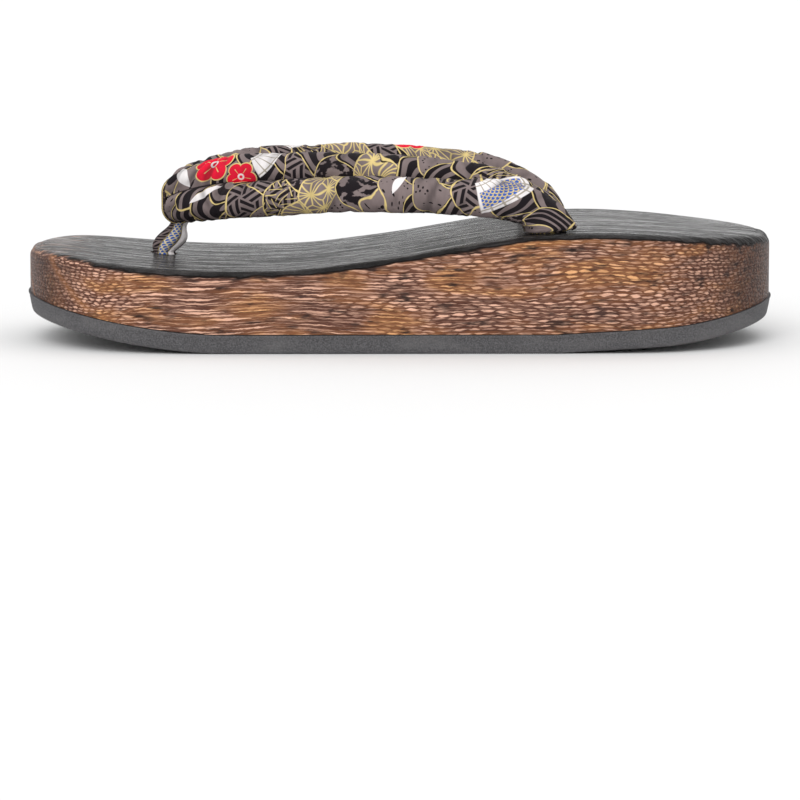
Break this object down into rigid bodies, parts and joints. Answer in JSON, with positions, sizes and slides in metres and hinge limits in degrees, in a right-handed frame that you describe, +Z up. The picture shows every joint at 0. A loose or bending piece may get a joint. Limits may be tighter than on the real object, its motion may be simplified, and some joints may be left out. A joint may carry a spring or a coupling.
{
  "type": "geta sandal",
  "caption": "Carved wooden geta sandal with a low raised heel, a rubber outsole and padded cloth thong straps joined at a twisted front loop.",
  "frame": {"origin": "on the floor, under the middle of the sole's length and width", "axes": "+X from the toe to the heel along the sandal, +Y across it, +Z up; the toe points to -X"},
  "size_m": [0.26, 0.1088, 0.066],
  "materials": {
    "sole_rubber": "matt dark grey, finely ribbed underneath",
    "scorched_wood": "scorched and brushed light wood under a clear lacquer, near black on top",
    "strap_cotton": "printed cotton, taupe ground with black, gold, red and blue motifs, stuffed",
    "loop_cotton": "printed cotton, folded and twisted"
  },
  "bodies": {
    "root": {"outsole": "sole_rubber", "wood_base": "scorched_wood", "straps": "strap_cotton", "front_loop": "loop_cotton"}
  },
  "joints": []
}
